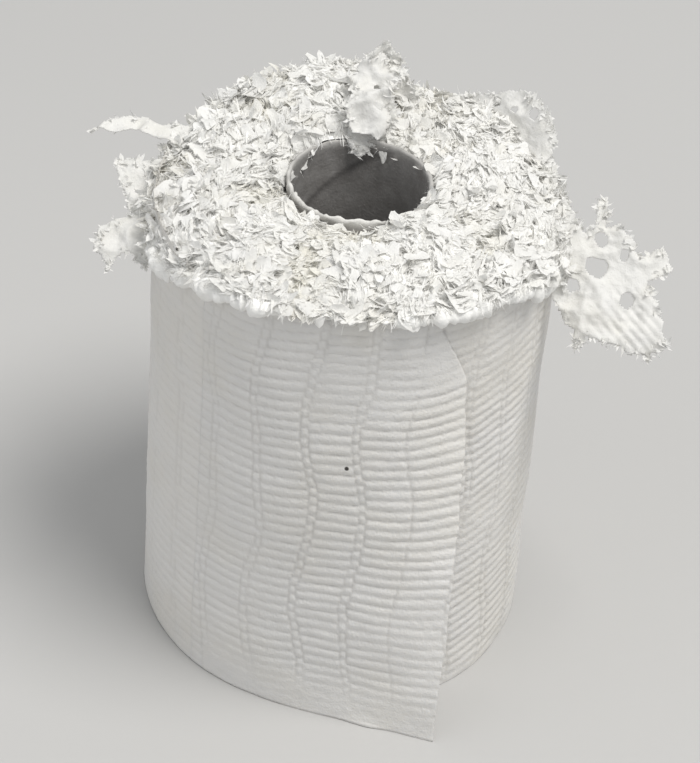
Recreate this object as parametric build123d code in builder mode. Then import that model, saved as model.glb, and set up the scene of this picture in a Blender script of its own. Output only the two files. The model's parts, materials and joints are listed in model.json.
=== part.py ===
"""A toilet paper roll whose top end has been chewed into a mat of shreds.

Millimetres, +Z up. The origin is on the core's axis at the foot of the roll,
-Y is the front, and the loose outer turn ends at the front, a little to the right.
Three pieces: the cardboard core tube, the wound paper with its loose outer turn,
and the shredded mat with the torn flaps that stand out of it.
"""

import os
from math import cos, radians, sin

from build123d import *

# Core tube: as long as the sheet is wide
CORE_LENGTH = 114.3
CORE_BORE = 29.5
CORE_WALL = 1.0

# Wound paper
ROLL_DIAMETER = 87.7
CHEWED_DEPTH = 7.3  # how far the turns are chewed down below the end of the core

# Loose end of the outer turn: it leaves the roll at the left of the front,
# hugs it at the top and swings out at the foot
SHEET = 0.6  # two embossed plies
TAIL_ROOT_ANGLE = -128.0
TAIL_EDGE_ANGLE = -55.0  # free edge at the top, where it still lies on the roll
TAIL_FOOT_ANGLE = -64.0  # free edge at the foot
TAIL_SWING = 16.2  # how far the foot of the free edge stands off the roll
TAIL_CURL = 2.4  # how late along its length the loose turn swings out
TORN_CORNER_HEIGHT = 17.0
TORN_CORNER_WIDTH = 8.0

# Mat of shreds on the chewed end
MAT_CLEARANCE = 0.2  # between the mat and the core
MAT_RIM = 1.2  # how far the mat spills over the roll's wall
MAT_CROWN = 1.0  # its highest ring above the end of the core
MAT_EDGE_HEIGHT = 2.8  # thickness at its outer edge
HEAP_RISE = 3.4  # the heap of shreds at the back, above the mat
HEAP_START = 95.0
HEAP_ARC = 50.0
SKIRT_THICKNESS = 1.8  # shreds that hang down over the wall at the two sides
SKIRT_DROP = 9.5
RIGHT_SKIRT_START = -24.0
RIGHT_SKIRT_ARC = 38.0
LEFT_SKIRT_START = 150.0
LEFT_SKIRT_ARC = 50.0

# Torn flaps: crumpled leaves of one or two plies
LEAF = 1.0
RIGHT_HOLE = (9.2, -0.4)
RIGHT_HOLE_RADIUS = 1.4

core_radius = CORE_BORE / 2 + CORE_WALL
roll_radius = ROLL_DIAMETER / 2
roll_top = CORE_LENGTH - CHEWED_DEPTH

os.makedirs("parts", exist_ok=True)


def polar(radius, angle):
    return (radius * cos(radians(angle)), radius * sin(radians(angle)))


def radial_plane(angle):
    """An upright plane through the axis: its x points outward, its y up."""
    out = (*polar(1, angle), 0)
    across = (sin(radians(angle)), -cos(radians(angle)), 0)
    return Plane(origin=(0, 0, 0), x_dir=out, z_dir=across)


def rim_plane(angle, height, inset=0.0, tilt=0.0, droop=0.0):
    """A plane rooted on the roll's wall: its x points outward, its y along the rim.

    Tilt turns it about its outward axis, and droop lowers its outer end.
    """
    root = (*polar(roll_radius - inset, angle), height)
    level = Plane(origin=root, x_dir=(*polar(1, angle), 0), z_dir=(0, 0, 1))
    return level.rotated((tilt, droop, 0))


def tail_curve(swing, edge_angle, depth):
    """Points along the loose turn, from its root in the roll to its free edge."""
    points = []
    for step in range(6):
        along = step / 5
        angle = TAIL_ROOT_ANGLE + (edge_angle - TAIL_ROOT_ANGLE) * along
        seat = SHEET * (1.2 * along - 0.5)
        points.append(polar(roll_radius + seat + swing * along**TAIL_CURL - depth, angle))
    return points


# Core tube
with BuildPart() as core_tube:
    with BuildSketch():
        Circle(core_radius)
        Circle(CORE_BORE / 2, mode=Mode.SUBTRACT)
    extrude(amount=CORE_LENGTH)

# Wound paper: the loose end of its outer turn first, then all the turns behind it
torn_corner_plane = Plane(
    origin=(0, 0, roll_top),
    x_dir=(*polar(1, TAIL_EDGE_ANGLE + 90), 0),
    z_dir=(*polar(1, TAIL_EDGE_ANGLE), 0),
)

with BuildPart() as paper_roll:
    for height, swing, edge_angle in (
        (0, TAIL_SWING, TAIL_FOOT_ANGLE),
        (roll_top, 0, TAIL_EDGE_ANGLE),
    ):
        with BuildSketch(Plane.XY.offset(height)):
            outer = tail_curve(swing, edge_angle, 0)
            inner = tail_curve(swing, edge_angle, SHEET)
            with BuildLine():
                Spline(*outer)
                Line(outer[-1], inner[-1])
                Spline(*reversed(inner))
                Line(inner[0], outer[0])
            make_face()
    loft()
    with BuildSketch(torn_corner_plane):
        with BuildLine():
            Polyline(
                (-TORN_CORNER_WIDTH, SHEET),
                (2 * SHEET, -TORN_CORNER_HEIGHT),
                (2 * SHEET, SHEET),
                close=True,
            )
        make_face()
    extrude(amount=roll_radius + 2 * SHEET, mode=Mode.SUBTRACT)
    with BuildSketch():
        Circle(roll_radius)
        Circle(core_radius, mode=Mode.SUBTRACT)
    extrude(amount=roll_top)

# Shredded mat and its torn flaps
mat_inner = core_radius + MAT_CLEARANCE
mat_outer = roll_radius + MAT_RIM
mat_crown = CORE_LENGTH + MAT_CROWN
mat_middle = (mat_inner + roll_radius) / 2

flaps = {
    # the big ragged flap at the right, a piece of the outer turn pulled outward
    "right": (
        rim_plane(-10, roll_top - 4, tilt=45),
        [
            (-3.5, 9.5), (2.5, 8.5), (6.5, 7.0), (6.5, 13.5), (8.0, 15.0), (9.5, 11.5), (9.0, 8.5),
            (13.0, 9.5), (17.5, 3.5), (22.0, 6.0), (24.5, 1.5), (20.5, -2.0), (23.0, -6.0),
            (27.0, -14.0), (23.5, -18.0), (16.0, -17.0), (9.5, -16.0), (7.5, -19.0),
            (5.5, -14.0), (0.5, -9.0), (-2.5, -4.0),
        ],
    ),
    # the narrow leaf that points away to the left
    "left_leaf": (
        rim_plane(160, roll_top + 4),
        [(-3, -7), (4, -4), (12, -3.5), (14.5, 0), (17.5, 6.5), (13.5, 6), (8, 3), (-3, 5)],
    ),
    # the flap at the left with a straight outer edge
    "left": (
        rim_plane(178, roll_top - 7, tilt=-40),
        [(-1.5, -11), (6, -12), (10, -11), (6, -1), (3, 5.5), (-1.5, 6)],
    ),
    # the tongue that hangs at the lower left
    "left_tongue": (
        rim_plane(-170, roll_top - 7, tilt=-30, droop=20),
        [
            (-1.5, -6), (4, -6.5), (11.5, -4), (13, 0.5), (10.5, 6), (8.5, 3.5),
            (5, 3), (2.5, 7), (0.5, 6), (-1.5, 4),
        ],
    ),
    # the folded flap that stands up behind the core
    "peak": (
        Plane(origin=(0, mat_middle + 2, roll_top), x_dir=(1, 0, 0), z_dir=(0, -1, 0)),
        [(-7, 2), (-6, 7), (-3.5, 12), (0, 14.5), (0.5, 19.5), (4.5, 22), (5, 17), (8, 12.5), (11, 9), (12, 2)],
    ),
    # the thin flap that stands up and leans out at the back right
    "back_right": (
        rim_plane(42, roll_top + 3, inset=3, droop=-45),
        [(-2, 14), (1.5, 13), (4.5, 8.5), (10, -0.5), (9.5, -5.5), (8, -10.5), (4, -14.5), (-2, -15)],
    ),
}

with BuildPart() as shredded_top:
    with BuildSketch(radial_plane(0)):
        with BuildLine():
            Line((mat_inner, roll_top), (mat_inner, CORE_LENGTH - MAT_CROWN))
            Spline(
                (mat_inner, CORE_LENGTH - MAT_CROWN),
                (mat_middle, mat_crown),
                (mat_outer, roll_top + MAT_EDGE_HEIGHT),
            )
            Polyline(
                (mat_outer, roll_top + MAT_EDGE_HEIGHT),
                (mat_outer, roll_top),
                (mat_inner, roll_top),
            )
        make_face()
    revolve(axis=Axis.Z)
    with BuildSketch(radial_plane(HEAP_START)):
        with BuildLine():
            Spline(
                (mat_middle, mat_crown - MAT_CROWN),
                (roll_radius - 6, mat_crown + HEAP_RISE),
                (mat_outer, roll_top + MAT_EDGE_HEIGHT),
            )
            Polyline(
                (mat_outer, roll_top + MAT_EDGE_HEIGHT),
                (mat_middle, roll_top + MAT_EDGE_HEIGHT),
                (mat_middle, mat_crown - MAT_CROWN),
            )
        make_face()
    revolve(axis=Axis.Z, revolution_arc=HEAP_ARC)
    for start, arc in ((RIGHT_SKIRT_START, RIGHT_SKIRT_ARC), (LEFT_SKIRT_START, LEFT_SKIRT_ARC)):
        with BuildSketch(radial_plane(start)):
            with BuildLine():
                Polyline(
                    (roll_radius, roll_top - SKIRT_DROP),
                    (roll_radius + SKIRT_THICKNESS, roll_top - SKIRT_DROP),
                    (roll_radius + SKIRT_THICKNESS, roll_top + MAT_EDGE_HEIGHT / 2),
                    (roll_radius, roll_top + MAT_EDGE_HEIGHT / 2),
                    close=True,
                )
            make_face()
        revolve(axis=Axis.Z, revolution_arc=arc)
    for name, (plane, outline) in flaps.items():
        with BuildSketch(plane):
            with BuildLine():
                Polyline(*outline, close=True)
            make_face()
            if name == "right":
                with Locations(RIGHT_HOLE):
                    Circle(RIGHT_HOLE_RADIUS, mode=Mode.SUBTRACT)
        extrude(amount=LEAF / 2, both=True)
    # the turns and the core fill their own space, so the flaps' roots end at them
    with BuildSketch():
        Circle(roll_radius)
    extrude(amount=roll_top, mode=Mode.SUBTRACT)
    with BuildSketch():
        Circle(mat_inner)
    extrude(amount=2 * CORE_LENGTH, mode=Mode.SUBTRACT)

core_tube.part.label = "core_tube"
export_step(core_tube.part, "parts/core_tube.step")

paper_roll.part.label = "paper_roll"
export_step(paper_roll.part, "parts/paper_roll.step")

shredded_top.part.label = "shredded_top"
export_step(shredded_top.part, "parts/shredded_top.step")
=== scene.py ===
import json
import math

import bmesh
import bpy
import numpy as np
from mathutils import Matrix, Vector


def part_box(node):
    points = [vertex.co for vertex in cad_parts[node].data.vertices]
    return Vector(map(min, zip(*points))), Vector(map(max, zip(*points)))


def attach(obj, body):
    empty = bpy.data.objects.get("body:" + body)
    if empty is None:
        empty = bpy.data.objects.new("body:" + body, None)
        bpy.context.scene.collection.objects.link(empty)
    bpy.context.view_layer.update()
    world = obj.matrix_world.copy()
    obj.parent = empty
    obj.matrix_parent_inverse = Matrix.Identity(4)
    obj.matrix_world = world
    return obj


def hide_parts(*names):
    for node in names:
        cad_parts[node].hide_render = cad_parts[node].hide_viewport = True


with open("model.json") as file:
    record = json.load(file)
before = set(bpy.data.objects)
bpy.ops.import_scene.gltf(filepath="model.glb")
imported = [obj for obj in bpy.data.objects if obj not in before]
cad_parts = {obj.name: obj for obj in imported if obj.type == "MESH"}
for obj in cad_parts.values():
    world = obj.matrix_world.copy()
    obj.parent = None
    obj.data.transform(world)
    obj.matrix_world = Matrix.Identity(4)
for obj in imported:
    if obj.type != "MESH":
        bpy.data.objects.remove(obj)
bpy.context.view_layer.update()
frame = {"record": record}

MM = 0.001
TURN = 2 * math.pi

# Sizes that come from the frame
core_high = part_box("core_tube")[1]
roll_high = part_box("paper_roll")[1]
bore_mount = next(m for m in frame["record"]["mounts"] if m["name"] == "core_bore")
BORE_RADIUS = bore_mount["dims"]["r_mm"] * MM
CORE_RADIUS = core_high.x
CORE_TOP = core_high.z
ROLL_RADIUS = roll_high.y
ROLL_TOP = roll_high.z

# The wound sheet
SHEET_TOP = ROLL_TOP + 2.2 * MM
SHEET_THICKNESS = 0.25 * MM
TURN_GAP = 0.45 * MM  # from one turn's face to the next
TAIL_EDGE_ANGLE = math.radians(-54.5)
TAIL_ROOT_ANGLE = math.radians(-128)
TAIL_LENGTH = (TAIL_EDGE_ANGLE - TAIL_ROOT_ANGLE) * ROLL_RADIUS
TAIL_LIFT_HEIGHT = 98 * MM  # above this the loose turn still lies on the roll
RIB_PITCH = 2.6 * MM
RIB_HEIGHT = 0.42 * MM
COLUMN_WIDTH = 11.4 * MM
SEAM_WIDTH = 0.42 * MM  # the smooth line between two columns
NARROW_SHARE = 0.15  # share of a column taken by its narrow strip of short ribs
NO_STRIP = 0.001  # the same share where a column has no such strip
TORN_CORNER_WIDTH = 8.0 * MM

# The shredded mat
MAT_INNER = CORE_RADIUS + 0.1 * MM
MAT_OUTER = ROLL_RADIUS + 0.5 * MM
DOME_SHARE = 0.80  # of the mat's section; the rest hangs down the wall
SHRED_SINK = 0.85  # how closely loose shreds follow the mat's relief
RIDGE_LEVEL = 0.62  # the usual height of a crease, taken off so that folds rise and fall

# The torn leaves, in millimetres, as their outlines are
LEAF_CELL = 0.36
LEAF_THICKNESS = 0.2
LEAF_RIB_PITCH = 1.7
LEAF_MARGIN = 0.8

rng = np.random.default_rng(7)


# ---------------------------------------------------------------- small tools


def smoothstep(x, low=0.0, high=1.0):
    """0 below low, 1 above high, smooth between."""
    t = np.clip((x - low) / (high - low), 0, 1)
    return t * t * (3 - 2 * t)


def scramble(whole, seed):
    """Repeatable values from 0 to 1 for arrays of whole numbers."""
    h = (whole.astype(np.int64) * 374761393 + seed * 668265263) & 0xFFFFFFFF
    h = ((h ^ (h >> 13)) * 1274126177) & 0xFFFFFFFF
    return ((h ^ (h >> 16)) & 0xFFFF) / 65535.0


def lumps(points, size, seed):
    """Smooth random values from -1 to 1 whose bumps are about size wide."""
    p = points / size + seed * 7.31
    cell = np.floor(p).astype(np.int64)
    f = p - cell
    f = f * f * (3 - 2 * f)
    total = 0
    for dx in (0, 1):
        for dy in (0, 1):
            for dz in (0, 1):
                corner = (cell[..., 0] + dx) * 73856093
                corner = corner ^ ((cell[..., 1] + dy) * 19349663)
                corner = corner ^ ((cell[..., 2] + dz) * 83492791)
                weight = np.abs(1 - dx - f[..., 0]) * np.abs(1 - dy - f[..., 1])
                weight = weight * np.abs(1 - dz - f[..., 2])
                total = total + scramble(corner, seed) * weight
    return total * 2 - 1


def creases(points, size, seed):
    """Values from 0 to 1 with sharp ridges, as in crumpled paper."""
    return 1 - np.abs(lumps(points, size, seed))


def around(angle, stations):
    """A value that changes smoothly with the angle, from {degrees: value}."""
    degrees = np.degrees(angle) % 360
    value_at = {key % 360: value for key, value in stations.items()}
    keys = sorted(value_at)
    keys = [keys[-1] - 360] + keys + [keys[0] + 360]
    values = np.array([value_at[key % 360] for key in keys], float)
    keys = np.array(keys, float)
    i = np.clip(np.searchsorted(keys, degrees, side="right") - 1, 0, len(keys) - 2)
    t = smoothstep(degrees, keys[i], keys[i + 1])
    return values[i] * (1 - t) + values[i + 1] * t


def unit(v):
    return v / np.maximum(np.linalg.norm(v, axis=-1, keepdims=True), 1e-12)


def grid_piece(name, columns, rows):
    """A flat grid object, with the places of its points from 0 to 1 both ways."""
    bm = bmesh.new()
    bmesh.ops.create_grid(bm, x_segments=columns, y_segments=rows, size=0.5)
    mesh = bpy.data.meshes.new(name)
    bm.to_mesh(mesh)
    bm.free()
    piece = bpy.data.objects.new(name, mesh)
    bpy.context.scene.collection.objects.link(piece)
    places = get_points(mesh)[:, :2] + 0.5
    return piece, places[:, 0], places[:, 1]


def get_points(mesh):
    co = np.zeros(len(mesh.vertices) * 3)
    mesh.vertices.foreach_get("co", co)
    return co.reshape(-1, 3)


def set_points(mesh, points):
    mesh.vertices.foreach_set("co", np.asarray(points, np.float32).ravel())
    mesh.update()


def set_value(mesh, name, values):
    layer = mesh.attributes.new(name, "FLOAT", "POINT")
    layer.data.foreach_set("value", np.asarray(values, np.float32))


def edit(piece, work):
    """Runs work(bm) on the piece's mesh."""
    bm = bmesh.new()
    bm.from_mesh(piece.data)
    work(bm)
    bm.to_mesh(piece.data)
    bm.free()
    piece.data.update()


def weld(piece, distance=0.01 * MM):
    edit(piece, lambda bm: bmesh.ops.remove_doubles(bm, verts=bm.verts, dist=distance))


def face_outward(piece):
    edit(piece, lambda bm: bmesh.ops.recalc_face_normals(bm, faces=bm.faces))


def bake_modifiers(piece):
    """Replaces the piece's mesh with the result of its modifiers."""
    graph = bpy.context.evaluated_depsgraph_get()
    graph.update()
    mesh = bpy.data.meshes.new_from_object(piece.evaluated_get(graph))
    piece.modifiers.clear()
    piece.data = mesh


def thicken(piece, thickness):
    layer = piece.modifiers.new("thickness", "SOLIDIFY")
    layer.thickness = thickness
    layer.offset = 0
    bake_modifiers(piece)


def finish_piece(piece, material, node):
    piece.data.materials.clear()
    piece.data.materials.append(material)
    piece.data.polygons.foreach_set("use_smooth", [True] * len(piece.data.polygons))
    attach(piece, "root")
    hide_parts(node)


# ---------------------------------------------------------------- materials


def feed(tree, socket, value):
    """Gives a socket a link or a constant; a colour may leave out its fourth number."""
    if isinstance(value, Value):
        value = value.socket
    if isinstance(value, bpy.types.NodeSocket):
        tree.links.new(value, socket)
    elif isinstance(value, tuple) and len(value) == 3 and len(socket.default_value) == 4:
        socket.default_value = (*value, 1.0)
    else:
        socket.default_value = value


def add_node(tree, kind, settings, values):
    """A node of one kind, with its settings and then the values or links of its sockets."""
    made = tree.nodes.new(kind)
    for key, value in settings.items():
        setattr(made, key, value)
    for key, value in values.items():
        feed(tree, made.inputs[key], value)
    return made


class Value:
    """A socket that can be used in arithmetic; each operation adds a Math node."""

    def __init__(self, tree, socket):
        self.tree = tree
        self.socket = socket

    def math(self, operation, other):
        made = add_node(self.tree, "ShaderNodeMath", {"operation": operation}, {0: self, 1: other})
        return Value(self.tree, made.outputs[0])

    def __add__(self, other):
        return self.math("ADD", other)

    __radd__ = __add__

    def __mul__(self, other):
        return self.math("MULTIPLY", other)

    __rmul__ = __mul__

    def __sub__(self, other):
        return self.math("SUBTRACT", other)

    def __rsub__(self, other):
        return (self * -1).math("ADD", other)

    def step(self, low, high):
        """0 below low, 1 above high, smooth between."""
        made = add_node(self.tree, "ShaderNodeMapRange", {"interpolation_type": "SMOOTHSTEP"}, {
            0: self, 1: low, 2: high, 3: 0.0, 4: 1.0,
        })
        return Value(self.tree, made.outputs[0])


class Shade:
    """A material whose nodes are added by short calls.

    see_through is the share of light that passes through thin paper, tinted by its glow.
    """

    def __init__(self, name, roughness, subsurface=0.0, see_through=0.0, glow=None):
        self.material = bpy.data.materials.new(name)
        self.material.use_nodes = True
        self.tree = self.material.node_tree
        self.tree.nodes.clear()
        self.surface = self.node("ShaderNodeBsdfPrincipled", {}, {
            "Roughness": roughness,
            "Specular IOR Level": 0.25,
            "Subsurface Weight": subsurface,
            "Subsurface Radius": (1.0, 0.92, 0.8),
            "Subsurface Scale": 1.2 * MM,
        })
        shader = self.surface.outputs[0]
        self.through = None
        if see_through:
            self.through = self.node("ShaderNodeBsdfTranslucent", {}, {"Color": glow})
            layers = {0: see_through, 1: shader, 2: self.through.outputs[0]}
            shader = self.node("ShaderNodeMixShader", {}, layers).outputs[0]
        self.node("ShaderNodeOutputMaterial", {}, {0: shader})
        self.place = self.node("ShaderNodeTexCoord", {}, {}).outputs["Object"]

    def node(self, kind, settings, values):
        return add_node(self.tree, kind, settings, values)

    def noise(self, size, detail=2.0, seed=0.0, roughness=0.5):
        """Values around 0.5 whose bumps are about size wide."""
        made = self.node("ShaderNodeTexNoise", {"noise_dimensions": "4D"}, {
            "Vector": self.place, "W": seed, "Scale": 1 / size, "Detail": detail, "Roughness": roughness,
        })
        return Value(self.tree, made.outputs[0])

    def attribute(self, name):
        made = self.node("ShaderNodeAttribute", {"attribute_name": name}, {})
        return Value(self.tree, made.outputs["Fac"])

    def mix(self, amount, first, second):
        made = self.node("ShaderNodeMix", {"data_type": "RGBA"}, {"Factor": amount, 6: first, 7: second})
        return made.outputs[2]

    def colour(self, value):
        feed(self.tree, self.surface.inputs["Base Color"], value)

    def bump(self, height, depth):
        made = self.node("ShaderNodeBump", {}, {"Height": height, "Distance": depth, "Strength": 1.0})
        feed(self.tree, self.surface.inputs["Normal"], made.outputs[0])
        if self.through:
            feed(self.tree, self.through.inputs["Normal"], made.outputs[0])


def tissue_material():
    """White two-ply tissue: crepe dimples, faint cream and grey clouds, and painted shade in the emboss
    grooves.
    """
    shade = Shade("embossed_tissue", 0.9, subsurface=0.15)
    cream = shade.noise(22 * MM, 2.0, 1.0).step(0.4, 0.68)
    grey = shade.noise(7 * MM, 3.0, 2.0).step(0.45, 0.75)
    base = shade.mix(cream, (0.735, 0.722, 0.70), (0.72, 0.70, 0.66))
    base = shade.mix(grey * 0.5, base, (0.69, 0.68, 0.66))
    # painted shade: darker where the emboss grooves and the lines between columns lie low
    groove_shade = shade.attribute("groove_shade")
    base = shade.mix(groove_shade * 0.35, base, (0.56, 0.54, 0.51))
    # one dark speck on the front; depth counts little, so that it lies on the sheet
    shallow = shade.node("ShaderNodeVectorMath", {"operation": "MULTIPLY"}, {0: shade.place, 1: (1, 0.1, 1)})
    away = shade.node("ShaderNodeVectorMath", {"operation": "DISTANCE"}, {
        0: shallow.outputs[0], 1: (2.0 * MM, -4.5 * MM, 71 * MM),
    })
    speck = 1 - Value(shade.tree, away.outputs["Value"]).step(0.32 * MM, 0.6 * MM)
    base = shade.mix(speck, base, (0.06, 0.055, 0.05))
    shade.colour(base)
    crepe = shade.noise(0.55 * MM, 2.0, 3.0) + shade.noise(1.6 * MM, 2.0, 4.0) * 0.8
    shade.bump(crepe, 0.16 * MM)
    return shade.material


SHADED_WHITE = (0.88, 0.873, 0.845)


def shred_material(name, base_white, pit_shade_and_patch_colour, see_through):
    """Torn tissue: bright fibres, with painted shade, creamier and darker, where shreds lie deep in the mat;
    on the torn leaves the same mask gives random cream patches.
    """
    glow = tuple((bright + shaded) / 2 for bright, shaded in zip(base_white, SHADED_WHITE))
    shade = Shade(name, 0.92, see_through=see_through, glow=glow)
    tint = shade.attribute("tint")
    pit_shade_and_patch = shade.attribute("pit_shade_and_patch")
    patches = shade.noise(6 * MM, 2.0, 5.0).step(0.5, 0.72)
    base = shade.mix(tint, base_white, SHADED_WHITE)
    base = shade.mix(patches * 0.35, base, (0.89, 0.872, 0.815))
    # painted shade, creamier and darker, in the mat's pits; random cream patches on the torn leaves
    base = shade.mix(pit_shade_and_patch, base, pit_shade_and_patch_colour)
    shade.colour(base)
    fibres = shade.noise(0.5 * MM, 3.0, 6.0, 0.65) + shade.noise(1.4 * MM, 2.0, 7.0)
    shade.bump(fibres, 0.2 * MM)
    return shade.material


def board_material():
    """Grey core board with fibres, a lighter scuffed rim and a dark seam along its spiral."""
    shade = Shade("core_board", 0.85)
    rim = shade.attribute("rim")
    seam = shade.attribute("seam")
    mottle = shade.noise(3.5 * MM, 4.0, 8.0, 0.6).step(0.3, 0.75)
    fleck = shade.noise(0.7 * MM, 2.0, 9.0).step(0.55, 0.75)
    base = shade.mix(mottle, (0.225, 0.215, 0.205), (0.31, 0.30, 0.29))
    base = shade.mix(fleck * 0.35, base, (0.40, 0.39, 0.38))
    base = shade.mix(seam, base, (0.12, 0.115, 0.11))
    base = shade.mix(rim, base, (0.66, 0.65, 0.62))
    shade.colour(base)
    shade.bump(shade.noise(0.6 * MM, 3.0, 10.0) + shade.noise(4 * MM, 2.0, 11.0), 0.12 * MM)
    return shade.material


def floor_material():
    """A pale matt table top with faint clouds."""
    shade = Shade("pale_table", 0.55)
    cloud = shade.noise(0.35, 2.0, 12.0)
    shade.colour(shade.mix(cloud, (0.47, 0.465, 0.455), (0.51, 0.505, 0.495)))
    shade.bump(shade.noise(3 * MM, 2.0, 13.0), 0.02 * MM)
    return shade.material


# ---------------------------------------------------------------- wound sheet


def emboss(along, height):
    """Height of the ribs, and depth of the grooves that is used for painted shade, each from 0 to 1, at a
    place on the sheet.

    The ribs run across columns that are parted by thin swaying lines.
    """
    place = np.stack([along, height, np.zeros_like(along)], -1)
    sway = 1.1 * MM * np.sin(TURN * height / (52 * MM) + 0.9)
    sway = sway + 1.3 * MM * lumps(place, 15 * MM, 3) + 0.3 * MM * lumps(place, 2.5 * MM, 4)
    column = (along + sway) / COLUMN_WIDTH
    index = np.floor(column)
    across = column - index
    share = np.where(scramble(index, 12) > 0.4, NARROW_SHARE, NO_STRIP)
    narrow = across > 1 - share
    inner = np.where(narrow, (across - 1 + share) / share, across / (1 - share))
    width = np.where(narrow, share, 1 - share) * COLUMN_WIDTH
    shift = scramble(index * 2 + narrow, 11)
    wander = 0.45 * MM * np.sin(TURN * along / (38 * MM)) + 0.5 * MM * lumps(place, 9 * MM, 5)
    rib = (height + wander + 0.05 * (inner - 0.5) * width) / RIB_PITCH + shift
    phase = rib - np.floor(rib)
    ridge = np.sin(math.pi * phase) ** 0.65
    to_edge = np.minimum(inner, 1 - inner) * width
    seam = smoothstep(to_edge, 0, SEAM_WIDTH)
    strength = 0.55 + 0.45 * smoothstep(lumps(place, 22 * MM, 6), -0.35, 0.25)
    return ridge * (0.25 + 0.75 * seam) * strength, 1 - smoothstep(ridge * seam, 0.1, 0.6)


def rib_strength(along, height):
    """From 1 for crisp ribs down to 0 for smooth paper.

    The foot, a patch by the torn corner and the left side have been pressed smoother.
    """
    loose_foot = smoothstep(height, 3 * MM, 15 * MM + 6 * MM * smoothstep(along, 0, 60 * MM))
    wound_foot = smoothstep(height, 0, 5 * MM)
    foot = np.where(along < TAIL_LENGTH, 0.12 + 0.88 * loose_foot, 0.35 + 0.65 * wound_foot)
    away = np.hypot((along - 5 * MM) / (9 * MM), (height - 96 * MM) / (7 * MM))
    patch = smoothstep(away, 0.5, 1.1)
    left = 1 - 0.35 * smoothstep(along, 45 * MM, 80 * MM) * (1 - smoothstep(along, 150 * MM, 190 * MM))
    return foot * (0.2 + 0.8 * patch) * left


def sheet_points(along, height, lift_tail):
    """Where the sheet runs in space, and its outward direction there.

    It follows the roll, and with lift_tail its end swings out at the foot. along is measured
    from the free edge, and both arrays are (rows, columns).
    """
    wound = np.clip(along - TAIL_LENGTH, 0, None)
    angle = TAIL_ROOT_ANGLE - wound / ROLL_RADIUS
    radius = ROLL_RADIUS - wound / (TURN * ROLL_RADIUS) * TURN_GAP
    x = radius * np.cos(angle)
    y = radius * np.sin(angle)
    heading = angle + math.pi / 2
    if lift_tail:
        loose = np.clip(TAIL_LENGTH - along, 0, None)
        below = 1 - height / TAIL_LIFT_HEIGHT
        openness = 0.5 * smoothstep(below, -0.12, 1.12) + 0.5 * np.clip(below, 0, 1)
        # how much of the roll's curvature is left along the loose end
        kept_at_foot = 0.80 - 0.85 * smoothstep(loose / TAIL_LENGTH, 0.25, 0.62)
        kept = 1 - openness * (1 - kept_at_foot)
        # walk from the root towards the free edge, one column at a time
        stretch = -np.diff(loose, axis=1, append=loose[:, -1:] * 0)
        stretch = np.where(loose > 0, stretch, 0)
        turned = np.cumsum((kept * stretch)[:, ::-1], axis=1)[:, ::-1] / ROLL_RADIUS
        heading = heading + turned
        midway = heading - kept * stretch / ROLL_RADIUS / 2
        x = x + np.cumsum((np.cos(midway) * stretch)[:, ::-1], axis=1)[:, ::-1]
        y = y + np.cumsum((np.sin(midway) * stretch)[:, ::-1], axis=1)[:, ::-1]
    outward = np.stack([np.sin(heading), -np.cos(heading), np.zeros_like(x)], -1)
    return np.stack([x, y, height], -1), outward


def sheet_piece(name, shares, places, columns, rows, lift_tail):
    """One stretch of the embossed sheet.

    places are distances from the free edge, and shares the part of the columns used up to each.
    """
    piece, u, v = grid_piece(name, columns, rows)
    u = u.reshape(rows + 1, columns + 1)
    v = v.reshape(rows + 1, columns + 1)
    along = np.interp(u, shares, places)
    edge_place = np.stack([along * 0, v * SHEET_TOP, along * 0], -1)
    if lift_tail:
        torn = TORN_CORNER_WIDTH * smoothstep(v * SHEET_TOP, 86 * MM, 109 * MM) ** 1.3
        torn = torn + 0.22 * MM * lumps(edge_place, 1.3 * MM, 21)
        torn = torn + 0.25 * MM * lumps(edge_place, 6 * MM, 22)
        along = along + torn * smoothstep(1 - u, 0.7, 1.0)
    place = np.stack([along, v * 0, v * 0], -1)
    top = SHEET_TOP + 0.8 * MM * lumps(place, 5 * MM, 23) + 0.5 * MM * lumps(place, 1.2 * MM, 24)
    foot = 0.12 * MM * (1 + lumps(place, 9 * MM, 25))
    height = foot + v * (top - foot)
    points, outward = sheet_points(along, height, lift_tail)
    ridge, groove_shade = emboss(along, height)
    strength = rib_strength(along, height)
    space = np.stack([along, height, along * 0], -1)
    buckle = 0.35 * MM * lumps(space, 14 * MM, 26) + 0.12 * MM * lumps(space, 4 * MM, 27)
    crinkle = 0.05 * MM * lumps(space, 1.1 * MM, 28)
    points = points + outward * (RIB_HEIGHT * (ridge - 0.6) * strength + buckle + crinkle)[..., None]
    if lift_tail:
        # the foot of the loose end has a short curled lip
        lip = np.exp(-(((along - 16 * MM) / (4.5 * MM)) ** 2)) * np.exp(-height / (1.0 * MM))
        points = points + outward * (0.9 * MM * lip)[..., None]
    points[..., 2] = np.maximum(points[..., 2], 0.0)
    set_points(piece.data, points.reshape(-1, 3))
    # painted shade in the grooves, weaker where the ribs are pressed smooth
    set_value(piece.data, "groove_shade", (groove_shade * strength).ravel())
    return piece


def make_sheet(material):
    """The loose end of the sheet, and the turn behind it that goes once round the roll."""
    overlap = 4 * MM
    loose = sheet_piece("loose_turn", [0, 1], [0, TAIL_LENGTH + overlap], 124, 232, True)
    thicken(loose, SHEET_THICKNESS)
    finish_piece(loose, material, "paper_roll")
    full = TURN * ROLL_RADIUS
    # columns are closer together on the front and right, where the ribs are crisp
    places = [TAIL_LENGTH, TAIL_LENGTH + 0.55 * full, TAIL_LENGTH + 1.01 * full]
    wound = sheet_piece("outer_turn", [0, 0.44, 1], places, 400, 200, False)
    finish_piece(wound, material, "paper_roll")
    for piece in (loose, wound):
        face_outward(piece)


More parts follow.
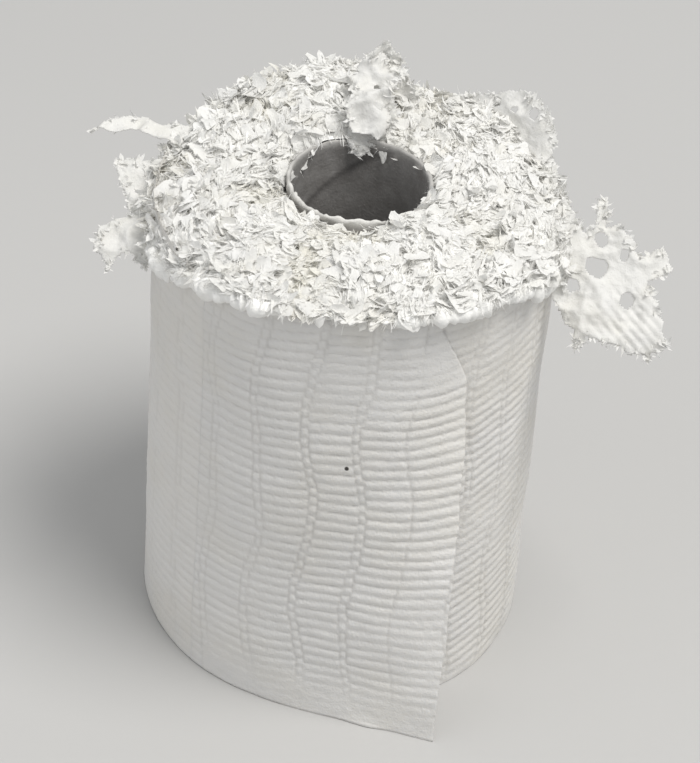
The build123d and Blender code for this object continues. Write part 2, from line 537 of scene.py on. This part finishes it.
def make_inner_turns(material):
    """The turns behind the outer one: a foot that shows the wound edges, and their wall."""
    rings, wall_rows, steps = 60, 24, 160
    piece, u, v = grid_piece("inner_turns", steps, rings + wall_rows)
    angle = u * TURN
    gap = 0.5 * MM
    inner, outer = CORE_RADIUS, ROLL_RADIUS - TURN_GAP - gap
    share = rings / (rings + wall_rows)
    across = np.clip(v / share, 0, 1)
    up = np.clip((v - share) / (1 - share), 0, 1)
    radius = inner + (outer - inner) * across
    turns = np.sin(TURN * (across * rings / 3 + u))
    height = 0.12 * MM * (1 + turns) * (1 - smoothstep(across, 0.98, 1)) + up * (ROLL_TOP - 1 * MM)
    points = np.stack([radius * np.cos(angle), radius * np.sin(angle), height], -1)
    set_points(piece.data, points)
    weld(piece)
    # no painted groove shade on the inner turns
    set_value(piece.data, "groove_shade", np.zeros(len(piece.data.vertices)))
    face_outward(piece)
    finish_piece(piece, material, "paper_roll")


# ---------------------------------------------------------------- core tube


def make_core(material):
    """The spirally wound core tube with a roughened upper rim."""
    steps, rows = 160, 150
    piece, u, v = grid_piece("core_board_tube", steps, rows)
    angle = u * TURN
    # the section runs up the outside, over the rim and down the bore, with more rows near the rim
    height = np.where(v <= 0.5, v / 0.5, (1 - v) / 0.5)
    height = 1 - (1 - height) ** 1.4
    over_rim = np.clip((v - 0.49) / 0.02, 0, 1)
    radius = CORE_RADIUS - (CORE_RADIUS - BORE_RADIUS) * smoothstep(over_rim)
    in_bore = v > 0.5
    place = np.stack([np.cos(angle) * 15 * MM, np.sin(angle) * 15 * MM, height * CORE_TOP], -1)
    frayed = smoothstep(height, 0.965, 1.0)
    front = 0.4 + 0.6 * smoothstep(np.cos(angle + math.radians(95)), -0.3, 0.6)
    rough = lumps(place, 1.6 * MM, 31) + 0.6 * lumps(place, 0.7 * MM, 32)
    z = height * CORE_TOP + frayed * front * MM * (0.5 * rough - 0.3)
    radius = radius + frayed * front * 0.35 * MM * lumps(place, 1.1 * MM, 33)
    spiral_pitch = 62 * MM
    helix = (angle / TURN + height * CORE_TOP / spiral_pitch) % 1.0
    step = smoothstep(helix, 0.0, 0.012) - helix
    radius = radius + 0.18 * MM * step * in_bore
    ripple = lumps(place, 9 * MM, 34)
    radius = radius + 0.25 * MM * ripple * in_bore * smoothstep(1 - height, 0.0, 0.1)
    set_points(piece.data, np.stack([radius * np.cos(angle), radius * np.sin(angle), z], -1))
    scuffed = np.clip(frayed * front * (0.9 + 0.5 * rough), 0, 1)
    set_value(piece.data, "rim", scuffed * smoothstep(height, 0.975, 0.995))
    set_value(piece.data, "seam", np.exp(-((np.minimum(helix, 1 - helix) / 0.015) ** 2)))
    weld(piece)
    face_outward(piece)
    finish_piece(piece, material, "core_tube")


# ---------------------------------------------------------------- shredded mat

# heights in millimetres by the angle round the roll: the mat's crown, its rim and its lower hem
CROWN = {
    -90: 113.3, -150: 113.2, 175: 112.8, 150: 112.6, 122: 116.8, 105: 116.6,
    90: 115.5, 60: 113.6, 25: 113.6, -20: 113.2, -50: 113.4,
}
EDGE = {
    -90: 110.6, -125: 109.4, -150: 104.5, 180: 106.5, 150: 109.0, 122: 114.0,
    105: 114.0, 85: 110.5, 40: 110.5, 10: 107.5, -20: 104.5, -45: 110.2,
}
HEM = {
    -90: 109.6, -120: 107.6, -140: 103.5, -155: 98.5, 180: 96.0, 140: 101.0,
    90: 102.5, 40: 101.5, 0: 96.5, -20: 98.5, -40: 106.5, -60: 109.2,
}


def mat_shape(angle, across):
    """The mat's smooth section: across runs from the core, over the dome, and down the wall."""
    rho = np.clip(across / DOME_SHARE, 0, 1)
    down = np.clip((across - DOME_SHARE) / (1 - DOME_SHARE), 0, 1)
    crown = around(angle, CROWN) * MM
    edge = around(angle, EDGE) * MM
    hem = around(angle, HEM) * MM
    radius = MAT_INNER + (MAT_OUTER - MAT_INNER) * (1 - (1 - rho) ** 1.08)
    z = crown - (crown - edge) * rho ** 3.2
    z = z - 2.6 * MM * (1 - smoothstep(rho, 0, 0.10)) ** 1.5
    radius = radius + 0.9 * MM * np.sin(math.pi * np.clip(down * 1.1, 0, 1))
    radius = radius - 0.8 * MM * smoothstep(down, 0.7, 1)
    z = z + (hem - edge) * down
    return np.stack([radius * np.cos(angle), radius * np.sin(angle), z], -1)


def mat_frame(angle, across):
    """Point, outward normal, direction round the roll and direction across, on the smooth mat."""
    step = 0.002
    point = mat_shape(angle, across)
    further, nearer = np.clip(across + step, 0, 1), np.clip(across - step, 0, 1)
    to_rim = unit(mat_shape(angle, further) - mat_shape(angle, nearer))
    round_it = unit(mat_shape(angle + step, across) - mat_shape(angle - step, across))
    normal = unit(np.cross(to_rim, round_it))
    return point, normal, round_it, to_rim


def mat_relief(point):
    """How far the matted surface stands off its smooth shape."""
    shifts = [lumps(point, 5 * MM, seed) for seed in (38, 39, 40)]
    warp = point + 1.6 * MM * np.stack(shifts, -1)
    big = 2.1 * MM * lumps(point, 12 * MM, 41)
    folds = 2.4 * MM * (creases(warp, 5.2 * MM, 42) - RIDGE_LEVEL)
    small = 1.3 * MM * (creases(warp, 2.4 * MM, 43) - RIDGE_LEVEL)
    fine = 0.5 * MM * lumps(warp, 1.0 * MM, 44)
    return big + folds + small + fine


def make_mat(material):
    """The matted surface itself, crumpled, with a ragged hem."""
    steps, rows = 800, 105
    piece, u, v = grid_piece("shred_mat", steps, rows)
    angle = u * TURN
    point, normal, _, _ = mat_frame(angle, v)
    relief = mat_relief(point)
    fade = smoothstep(v, 0.0, 0.06) * (1 - 0.8 * smoothstep(v, 0.93, 1.0))
    point = point + normal * (relief * fade)[:, None]
    ragged = 1.6 * lumps(point, 3 * MM, 45) + 0.8 * lumps(point, 1.1 * MM, 46)
    point[:, 2] += smoothstep(v, 0.9, 1.0) * MM * ragged
    set_points(piece.data, point)
    set_value(piece.data, "tint", 0.5 + 0.5 * lumps(point, 2 * MM, 47))
    # painted shade: creamier and darker where the mat's relief sinks
    set_value(piece.data, "pit_shade_and_patch", smoothstep(-relief, 0.2 * MM, 1.9 * MM) * 0.85)
    weld(piece)
    face_outward(piece)
    finish_piece(piece, material, "shredded_top")


def copies(name, columns, rows, count):
    """count copies of a small grid in one mesh, and the places of one grid's points from -1 to 1."""
    piece, u, v = grid_piece(name, columns, rows)
    many = piece.modifiers.new("copies", "ARRAY")
    many.count = count
    many.use_relative_offset = False
    bake_modifiers(piece)
    return piece, u * 2 - 1, v * 2 - 1


def scatter(count, low, high):
    """Random places on the mat, evenly by area: angles and places across."""
    tries = count * 3
    across = low + (high - low) * rng.random(tries)
    weight = np.linalg.norm(mat_shape(np.zeros_like(across), across)[:, :2], axis=1)
    keep = rng.random(tries) * weight.max() < weight
    across = across[keep][:count]
    return rng.random(len(across)) * TURN, across


def on_mat(angle, across, lift):
    """Seats on the matted surface: base, normal, two directions along it, and its depth there."""
    point, normal, round_it, to_rim = mat_frame(angle, across)
    relief = mat_relief(point)
    base = point + normal * (relief * SHRED_SINK + lift)[:, None]
    return base, normal, round_it, to_rim, relief


def turned(first, second, angle):
    """Two square directions after each has turned towards the other's place by the angle."""
    cos, sin = np.cos(angle)[:, None], np.sin(angle)[:, None]
    return first * cos + second * sin, second * cos - first * sin


def shreds(name, material, columns, rows, seat, length, width, bend, pitch, crumple,
           twist=0.6, stray=0.6, flow=1.0):
    """Torn bits: each is a small curled, crumpled, ragged leaf.

    Each has its own length, width and bend. pitch is how far they tilt off the surface. With
    flow, neighbours lie roughly the same way, as in felt, and stray is how far each one wanders.
    """
    base, normal, round_it, to_rim, relief = seat
    count = len(base)
    piece, u, v = copies(name, columns, rows, count)
    heading = flow * math.pi * lumps(base, 12 * MM, 51) + rng.normal(0, stray, count)
    t = turned(round_it, to_rim, heading)[0]
    b = unit(np.cross(normal, t))
    t, n = turned(t, normal, rng.normal(0, pitch, count))
    b, n = turned(b, n, rng.normal(0, pitch * 1.1, count))
    length, width, bend = length[:, None], width[:, None], bend[:, None]
    size = (count, len(u))
    ragged = 1 + 0.16 * (rng.random(size) - 0.5)
    # rounded corners, and one end often narrower than the other
    round_u, round_v = u * np.sqrt(1 - v ** 2 / 2), v * np.sqrt(1 - u ** 2 / 2)
    taper = 1 - 0.4 * (0.5 + 0.5 * u) * rng.random((count, 1))
    x = round_u * ragged * length / 2 + rng.normal(0, 0.03, size) * width
    wave = 0.18 * width * np.sin(u * 3 + rng.random((count, 1)) * 6)
    y = round_v * ragged * taper * width / 2 + wave
    turn = bend * (x / length)
    radius = length / np.where(np.abs(bend) < 0.05, 0.05, bend)
    along = radius * np.sin(turn)
    up = radius * (1 - np.cos(turn))
    cup = rng.normal(0, 0.35, (count, 1)) * y ** 2 / width
    up = up + cup + crumple * rng.normal(0, 1, size) * width
    spin = twist * rng.normal(0, 1, (count, 1)) * u
    side = y * np.cos(spin)
    up = up + y * np.sin(spin)
    points = base[:, None] + along[..., None] * t[:, None]
    points = points + side[..., None] * b[:, None]
    points = points + up[..., None] * n[:, None]
    set_points(piece.data, points.reshape(-1, 3))
    # painted shade: shreds that lie low in the mat's relief are creamier and darker
    depth = np.clip((-relief) / (1.8 * MM), 0, 1) * 0.85
    set_value(piece.data, "tint", np.repeat(rng.random(count), len(u)))
    set_value(piece.data, "pit_shade_and_patch", np.repeat(depth, len(u)))
    finish_piece(piece, material, "shredded_top")


def between(low, high, count):
    """count random values from low to high."""
    return low + (high - low) * rng.random(count)


def some_reversed(values):
    """The values, a quarter of them with their sign changed."""
    return values * np.where(rng.random(len(values)) < 0.25, -1, 1)


def make_shreds(material):
    """Loose bits on the mat: flakes, curls and fibres that arch with their ends tucked in."""
    for part in "ab":
        angle, across = scatter(950, 0.02, 0.79)
        n = len(angle)
        seat = on_mat(angle, across, between(0.0, 0.8, n) * MM)
        shreds("flakes_" + part, material, 6, 5, seat, between(3, 9, n) * MM, between(1.8, 4.8, n) * MM,
               -some_reversed(between(0.5, 2.2, n)), pitch=0.17, crumple=0.025, twist=0.5)
    angle, across = scatter(3200, 0.0, 0.82)
    n = len(angle)
    seat = on_mat(angle, across, between(0.0, 0.9, n) * MM)
    shreds("curls", material, 8, 2, seat, between(3, 9, n) * MM, between(0.35, 1.0, n) * MM,
           -some_reversed(between(0.8, 3.2, n)), pitch=0.18, crumple=0.05, twist=1.0, stray=0.4)
    angle, across = scatter(9500, 0.0, 0.86)
    n = len(angle)
    seat = on_mat(angle, across, between(0.1, 1.2, n) * MM)
    shreds("fibres", material, 5, 1, seat, between(2.5, 8, n) * MM, between(0.1, 0.26, n) * MM,
           -some_reversed(between(0.5, 3.0, n)), pitch=0.22, crumple=0.1, twist=1.5, stray=0.4)
    # shreds that stick out past the rim, most of them at the sides and the back
    angle, across = scatter(1500, 0.70, 0.95)
    sides = (np.cos(angle + math.pi / 2) < 0.3) | (across < 0.74)
    angle, across = angle[sides], across[sides]
    n = len(angle)
    seat = on_mat(angle, across, between(-0.3, 0.9, n) * MM)
    shreds("rim_shreds", material, 7, 3, seat, between(2.5, 7.5, n) * MM, between(0.8, 2.6, n) * MM,
           some_reversed(between(0.3, 2.5, n)), pitch=0.6, crumple=0.07, twist=0.9)
    # rolled ply edges that lie along the rim at the front
    n = 70
    angle = between(math.radians(-165), math.radians(-15), n)
    seat = on_mat(angle, between(0.70, 0.80, n), between(-0.2, 0.5, n) * MM)
    shreds("rolled_edges", material, 20, 6, seat, between(6, 15, n) * MM, between(1.4, 3.4, n) * MM,
           between(0.2, 0.8, n), pitch=0.12, crumple=0.03, twist=0.8, stray=0.16, flow=0.0)


# ---------------------------------------------------------------- torn flaps


def rim_seat(angle, height, inset=0.0, tilt=0.0, droop=0.0):
    """Root of a flap on the wall, its outward and sideways directions, and its face's normal."""
    angle, tilt, droop = np.radians([angle, tilt, droop])
    out = np.array([math.cos(angle), math.sin(angle), 0])
    side = np.array([-math.sin(angle), math.cos(angle), 0])
    up = np.array([0, 0, 1.0])
    root = out * (ROLL_RADIUS - inset * MM) + up * height * MM
    x = out * math.cos(droop) + math.sin(droop) * (side * math.sin(tilt) - up * math.cos(tilt))
    y = side * math.cos(tilt) + up * math.sin(tilt)
    return root, x, y, np.cross(x, y)


def inside_outline(outline, x, y):
    """Distance to the outline's edge, positive inside."""
    nearest = np.full(x.shape, 1e9)
    inside = np.zeros(x.shape, bool)
    for (ax, ay), (bx, by) in zip(outline, np.roll(outline, -1, axis=0)):
        along = ((x - ax) * (bx - ax) + (y - ay) * (by - ay)) / ((bx - ax) ** 2 + (by - ay) ** 2)
        along = np.clip(along, 0, 1)
        nearest = np.minimum(nearest, np.hypot(x - ax - along * (bx - ax), y - ay - along * (by - ay)))
        if ay != by:
            crosses = ((ay > y) != (by > y)) & (x < ax + (y - ay) / (by - ay) * (bx - ax))
            inside = inside ^ crosses
    return np.where(inside, nearest, -nearest)


def leaf_height(x, y, inside, crumple, seed, fold):
    """How far a crumpled leaf stands off its plane, in millimetres."""
    flat = np.stack([x, y, x * 0], -1)
    z = 1.2 * lumps(flat, 7, seed) + 1.9 * (creases(flat, 4.5, seed + 1) - RIDGE_LEVEL)
    z = z + 0.45 * (creases(flat, 1.8, seed + 2) - RIDGE_LEVEL) + 0.08 * lumps(flat, 0.7, seed + 3)
    z = z + 0.9 * np.exp(-np.abs(inside) / 1.1) * lumps(flat, 3, seed + 4)
    if fold:
        slope, place, depth = fold
        away = (x * math.cos(slope) + y * math.sin(slope)) - place
        z = z + depth * np.exp(-np.abs(away) / 3.0)
    return z * crumple


def torn_leaf(name, material, seat, outline, holes=(), crumple=1.0, fold=None, ribs=None,
              seed=60, fringe=60):
    """A torn leaf of tissue with a ragged outline, holes, folds and a fringe of fibres.

    The outline, holes (x, y, radius), fold (slope, place, depth) and ribs (slope, x, y, reach)
    are in millimetres on the seat's plane, with slopes in radians.
    """
    root, x_dir, y_dir, z_dir = seat
    outline = np.array(outline, float)
    low, high = outline.min(0) - LEAF_MARGIN, outline.max(0) + LEAF_MARGIN
    columns, rows = np.ceil((high - low) / LEAF_CELL).astype(int)
    piece, u, v = grid_piece(name, int(columns), int(rows))
    x = low[0] + u * (high[0] - low[0])
    y = low[1] + v * (high[1] - low[1])
    inside = inside_outline(outline, x, y)
    for hole_x, hole_y, hole_radius in holes:
        inside = np.minimum(inside, np.hypot(x - hole_x, y - hole_y) - hole_radius)
    flat = np.stack([x, y, x * 0], -1)
    torn = inside + 0.8 * lumps(flat, 2.4, seed + 5) + 0.4 * lumps(flat, 0.9, seed + 6)
    z = leaf_height(x, y, inside, crumple, seed, fold)
    if ribs:
        slope, rib_x, rib_y, reach = ribs
        phase = (x * math.cos(slope) + y * math.sin(slope)) / LEAF_RIB_PITCH
        fade = np.exp(-(((x - rib_x) ** 2 + (y - rib_y) ** 2) / reach ** 2))
        z = z + 0.22 * np.sin(TURN * phase) * fade
    set_points(piece.data, root + MM * (x[:, None] * x_dir + y[:, None] * y_dir + z[:, None] * z_dir))
    set_value(piece.data, "tint", 0.5 + 0.5 * lumps(flat, 3, seed + 7))
    # random cream patches on the leaf
    set_value(piece.data, "pit_shade_and_patch", 0.25 * smoothstep(lumps(flat, 4, seed + 8)))
    gone = torn < 0

    def tear(bm):
        bm.verts.ensure_lookup_table()
        bmesh.ops.delete(bm, geom=[vert for vert in bm.verts if gone[vert.index]], context="VERTS")
        loose = [vert for vert in bm.verts if not vert.link_faces]
        bmesh.ops.delete(bm, geom=loose, context="VERTS")

    edit(piece, tear)
    thicken(piece, LEAF_THICKNESS * MM)
    finish_piece(piece, material, "shredded_top")
    leaf_fringe(name + "_fringe", material, seat, outline, crumple, seed, fold, fringe)


def leaf_fringe(name, material, seat, outline, crumple, seed, fold, count):
    """Fibres and small curls that stand out along a leaf's torn edge, away from its root."""
    root, x_dir, y_dir, z_dir = seat
    start = rng.integers(0, len(outline), count)
    first, second = outline[start], np.roll(outline, -1, axis=0)[start]
    spot = first + (second - first) * rng.random((count, 1))
    out = unit((second - first)[:, ::-1] * (1, -1))
    just_out = inside_outline(outline, *(spot + 0.05 * out).T)
    out = out * np.where(just_out > 0, -1, 1)[:, None]
    keep = spot[:, 0] > 1.0
    spot, out = spot[keep] - out[keep] * 0.6, out[keep]
    inside = inside_outline(outline, *spot.T)
    lift = leaf_height(spot[:, 0], spot[:, 1], inside, crumple, seed, fold)
    base = root + MM * (spot[:, :1] * x_dir + spot[:, 1:] * y_dir + lift[:, None] * z_dir)
    outward = out[:, :1] * x_dir + out[:, 1:] * y_dir
    normal = np.broadcast_to(z_dir, base.shape)
    n = len(base)
    fringe_seat = (base, normal, outward, np.cross(normal, outward), np.zeros(n))
    shreds(name, material, 5, 2, fringe_seat, between(1.5, 4.5, n) * MM, between(0.2, 1.4, n) * MM,
           some_reversed(between(0.3, 2.5, n)), pitch=0.45, crumple=0.08, twist=0.9, stray=0.5, flow=0.0)


def make_flaps(material):
    """The torn flaps round the rim, and the folded piece behind the core."""
    rim = ROLL_TOP / MM
    torn_leaf("right_flap", material, rim_seat(-10, rim - 4, tilt=45), [
        (-3.5, 9.5), (2.5, 8.5), (6.5, 7.0), (6.5, 13.5), (8.0, 15.0), (9.5, 11.5), (9.0, 8.5),
        (13.0, 9.5), (17.5, 3.5), (22.0, 6.0), (24.5, 1.5), (20.5, -2.0), (23.0, -6.0),
        (27.0, -14.0), (23.5, -18.0), (16.0, -17.0), (9.5, -16.0), (7.5, -19.0),
        (5.5, -14.0), (0.5, -9.0), (-2.5, -4.0),
    ], holes=[(9.2, -0.4, 2.3), (16, -6.5, 1.2), (8.4, 5.8, 1.3), (14.0, 3.6, 1.2), (4.4, -5.2, 1.0)],
        crumple=0.8, fold=(0.5, 6.0, 1.4), ribs=(0.9, 18, -12, 8.0), seed=60, fringe=150)
    torn_leaf("left_leaf", material, rim_seat(160, rim + 4), [
        (-3, -5), (4, -3), (12, -2.5), (14.5, 0.5), (17.5, 6.5), (13, 4.5), (8, 1.8), (-3, 3),
    ], crumple=0.7, fold=(1.57, 0.5, 1.0), seed=70, fringe=16)
    torn_leaf("left_flap", material, rim_seat(178, rim - 7, tilt=-40), [
        (-1.5, -11), (6, -12), (10, -11), (6, -1), (3, 5.5), (-1.5, 6),
    ], crumple=0.8, seed=80, fringe=60)
    torn_leaf("left_tongue", material, rim_seat(-170, rim - 7, tilt=-30, droop=20), [
        (-1.5, -6), (4, -6.5), (11.5, -4), (13, 0.5), (10.5, 6), (8.5, 3.5),
        (5, 3), (2.5, 7), (0.5, 6), (-1.5, 4),
    ], crumple=0.8, seed=90, fringe=70)
    middle = (CORE_RADIUS + 0.2 * MM + ROLL_RADIUS) / 2 + 2 * MM
    sideways = np.array([1.0, 0, 0])
    upright = (np.array([0, middle, ROLL_TOP]), sideways, np.array([0, 0, 1.0]), np.array([0, -1.0, 0]))
    torn_leaf("peak_flap", material, upright, [
        (-7, 4), (-6, 9), (-3.5, 13.5), (-1, 16), (0, 19.5), (3, 22), (7, 20), (8, 14.5), (11, 10), (12, 4),
    ], crumple=1.3, fold=(0.35, 2.5, 2.2), seed=100, fringe=70)
    torn_leaf("back_right_flap", material, rim_seat(42, rim + 5, inset=3, droop=-52), [
        (-2, 14), (1.5, 13), (4.5, 8.5), (10, -0.5), (9.5, -5.5), (8, -10.5), (4, -14.5), (-2, -15),
    ], holes=[(5, -1, 0.9), (7, -6, 0.8), (4, 5, 0.7)], crumple=0.75, seed=110, fringe=80)
    rise = math.radians(24)
    lying = (np.array([1 * MM, CORE_RADIUS - 1 * MM, CORE_TOP + 2.6 * MM]),
             np.array([0, math.cos(rise), math.sin(rise)]), -sideways,
             np.array([0, -math.sin(rise), math.cos(rise)]))
    torn_leaf("folded_flap", material, lying, [
        (-2, -3), (4, -6), (8, -4), (13, -7.5), (18, -4), (19, 2), (13, 6), (9, 3), (4, 6), (-2, 4),
    ], holes=[(10.5, -1, 0.8)], crumple=1.7, fold=(0.5, 6, 1.6), ribs=(0.3, 6, 2, 4.0), seed=130, fringe=120)
    lean = math.radians(60)
    hanging = (np.array([-0.5 * MM, BORE_RADIUS + 1.5 * MM, CORE_TOP + 2.2 * MM]),
               np.array([0, -math.cos(lean), -math.sin(lean)]), sideways,
               np.array([0, -math.sin(lean), math.cos(lean)]))
    torn_leaf("bore_flap", material, hanging, [
        (-6, -4), (0, -3.2), (4, -2.6), (6.5, -0.5), (5.5, 2.2), (3, 2.8), (0, 3.4), (-6, 4.5),
    ], crumple=0.6, seed=120, fringe=40)


# ---------------------------------------------------------------- setting


def make_floor(material):
    width = 6
    floor, u, v = grid_piece("table_top", 4, 4)
    set_points(floor.data, np.stack([(u - 0.5) * width, (v - 0.5) * width, u * 0], -1))
    floor.data.materials.append(material)


def place_object(name, data, columns):
    """Adds an object whose side, up and back directions and place are the given columns."""
    placed = bpy.data.objects.new(name, data)
    bpy.context.scene.collection.objects.link(placed)
    rows = [[column[i] for column in columns] for i in range(3)]
    placed.matrix_world = Matrix(rows + [[0, 0, 0, 1]])
    return placed


def round_light(name, place, size, power, colour):
    """A soft round light that looks at the middle of the roll."""
    data = bpy.data.lights.new(name, "AREA")
    data.shape = "DISK"
    data.size = size
    data.energy = power
    data.color = colour
    target = np.array([0, 0, 0.06])
    back = unit(np.array(place) - target)
    side = unit(np.cross((0, 0, 1.0), back))
    place_object(name, data, (side, np.cross(back, side), back, place))


def make_lights():
    """A high soft key light, a weak fill from the left, and an even pale room."""
    round_light("key", (0.50, -0.28, 1.62), 0.8, 23, (1.0, 0.985, 0.96))
    round_light("fill", (-1.1, -0.7, 0.8), 1.2, 2.2, (0.97, 0.98, 1.0))
    world = bpy.data.worlds.new("room")
    bpy.context.scene.world = world
    world.use_nodes = True
    tree = world.node_tree
    tree.nodes.clear()
    seen = add_node(tree, "ShaderNodeBackground", {}, {"Color": (0.50, 0.495, 0.485)})
    light = add_node(tree, "ShaderNodeBackground", {}, {"Color": (0.97, 0.985, 1.0), "Strength": 0.56})
    path = add_node(tree, "ShaderNodeLightPath", {}, {})
    both = add_node(tree, "ShaderNodeMixShader", {}, {
        0: path.outputs["Is Camera Ray"], 1: light.outputs[0], 2: seen.outputs[0],
    })
    add_node(tree, "ShaderNodeOutputWorld", {}, {0: both.outputs[0]})


def make_camera():
    """Looks down at the front of the roll, a little rolled over."""
    elevation, roll = math.radians(38.29), math.radians(4.53)
    distance = 650.1 * MM
    target = np.array([1.246, 0.0, 59.05]) * MM
    back = np.array([0, -math.cos(elevation), math.sin(elevation)])
    side = np.array([1.0, 0, 0])
    up = np.cross(back, side)
    right = math.cos(roll) * side + math.sin(roll) * up
    top = math.cos(roll) * up - math.sin(roll) * side
    data = bpy.data.cameras.new("camera")
    data.lens = 136.3
    data.sensor_width = 36
    data.clip_start, data.clip_end = 0.05, 20
    columns = (right, top, back, target + back * distance)
    bpy.context.scene.camera = place_object("camera", data, columns)


make_camera()
make_lights()
make_floor(floor_material())
tissue = tissue_material()
make_sheet(tissue)
make_inner_turns(tissue)
make_core(board_material())
mat_white = shred_material("shred_mat", (0.93, 0.925, 0.905), (0.86, 0.835, 0.75), 0.0)
thin_white = shred_material("thin_shreds", (0.94, 0.935, 0.92), (0.88, 0.86, 0.79), 0.3)
# the torn leaves get a darker copy of the thin shreds' white: painted shade
shaded_leaf_white = shred_material("torn_leaves_painted_shade", (0.85, 0.845, 0.83), (0.80, 0.78, 0.72), 0.3)
make_mat(mat_white)
make_shreds(thin_white)
make_flaps(shaded_leaf_white)

scene = bpy.context.scene
scene.view_settings.view_transform = "Standard"
